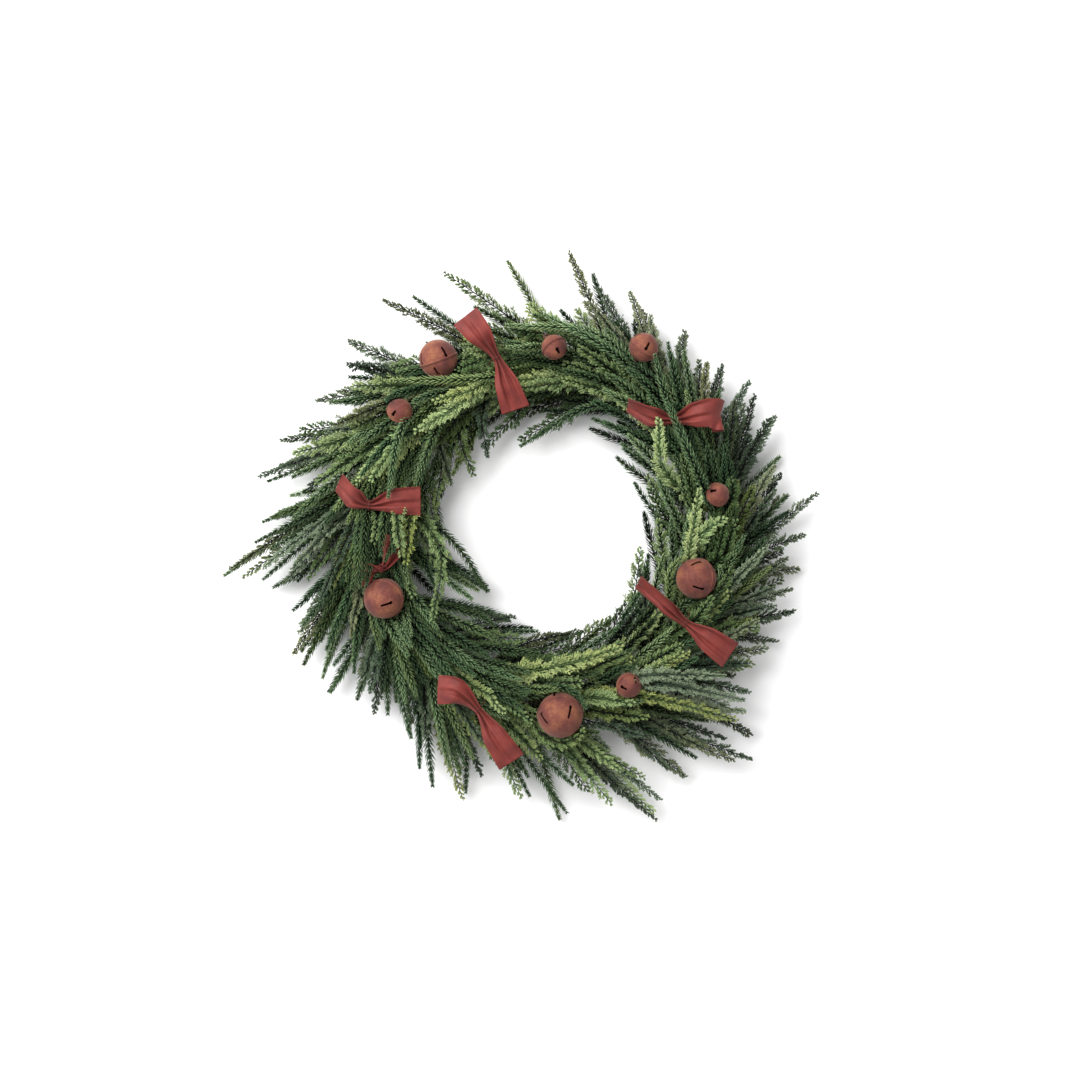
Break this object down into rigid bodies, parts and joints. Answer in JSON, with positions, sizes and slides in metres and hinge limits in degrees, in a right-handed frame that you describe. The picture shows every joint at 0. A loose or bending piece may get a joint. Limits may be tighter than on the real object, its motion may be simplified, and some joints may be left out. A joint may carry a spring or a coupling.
{
  "type": "evergreen wreath",
  "caption": "Round wreath of pine and cedar sprays on a clamp ring, with rusted jingle bells and pinched ribbons, lying on its back with its face up.",
  "frame": {"origin": "middle of the underside, under the middle of the bounding box, on the surface that the wreath lies on", "axes": "+Z from the wreath's back towards its face; +Y towards the top of the wreath as it is hung; +X towards its right, seen from the front"},
  "size_m": [0.605, 0.5824, 0.0971],
  "materials": {
    "ring_paint": "green enamel on steel wire and strap, satin",
    "greens": "waxy evergreen needles and scale leaves on thin woody stems",
    "rusted_iron": "pressed sheet iron with a dry, matte coat of rust",
    "steel_wire": "bare soft steel, dull",
    "ribbon_cloth": "soft brick-red cloth ribbon with a matte face"
  },
  "bodies": {
    "root": {"clamp_ring": "ring_paint", "bunch_01": "greens", "bunch_02": "greens", "bunch_03": "greens", "bunch_04": "greens", "bunch_05": "greens", "bunch_06": "greens", "bunch_07": "greens", "bunch_08": "greens", "bunch_09": "greens", "bunch_10": "greens", "bunch_11": "greens", "bunch_12": "greens", "bunch_13": "greens", "bunch_14": "greens", "bunch_15": "greens", "bunch_16": "greens", "bunch_17": "greens", "bunch_18": "greens", "bell_1": "rusted_iron", "bell_2": "rusted_iron", "bell_3": "rusted_iron", "bell_4": "rusted_iron", "bell_5": "rusted_iron", "bell_6": "rusted_iron", "bell_7": "rusted_iron", "bell_8": "rusted_iron", "bell_9": "rusted_iron", "pellet_1": "steel_wire", "pellet_2": "steel_wire", "pellet_3": "steel_wire", "pellet_4": "steel_wire", "pellet_5": "steel_wire", "pellet_6": "steel_wire", "pellet_7": "steel_wire", "pellet_8": "steel_wire", "pellet_9": "steel_wire", "bell_tie_1": "steel_wire", "bell_tie_2": "steel_wire", "bell_tie_3": "steel_wire", "bell_tie_4": "steel_wire", "bell_tie_5": "steel_wire", "bell_tie_6": "steel_wire", "bell_tie_7": "steel_wire", "bell_tie_8": "steel_wire", "bell_tie_9": "steel_wire", "ribbon_1": "ribbon_cloth", "ribbon_2": "ribbon_cloth", "ribbon_3": "ribbon_cloth", "ribbon_4": "ribbon_cloth", "ribbon_5": "ribbon_cloth", "ribbon_6": "ribbon_cloth", "ribbon_tie_1": "steel_wire", "ribbon_tie_2": "steel_wire", "ribbon_tie_3": "steel_wire", "ribbon_tie_4": "steel_wire", "ribbon_tie_5": "steel_wire", "ribbon_tie_6": "steel_wire"}
  },
  "joints": []
}
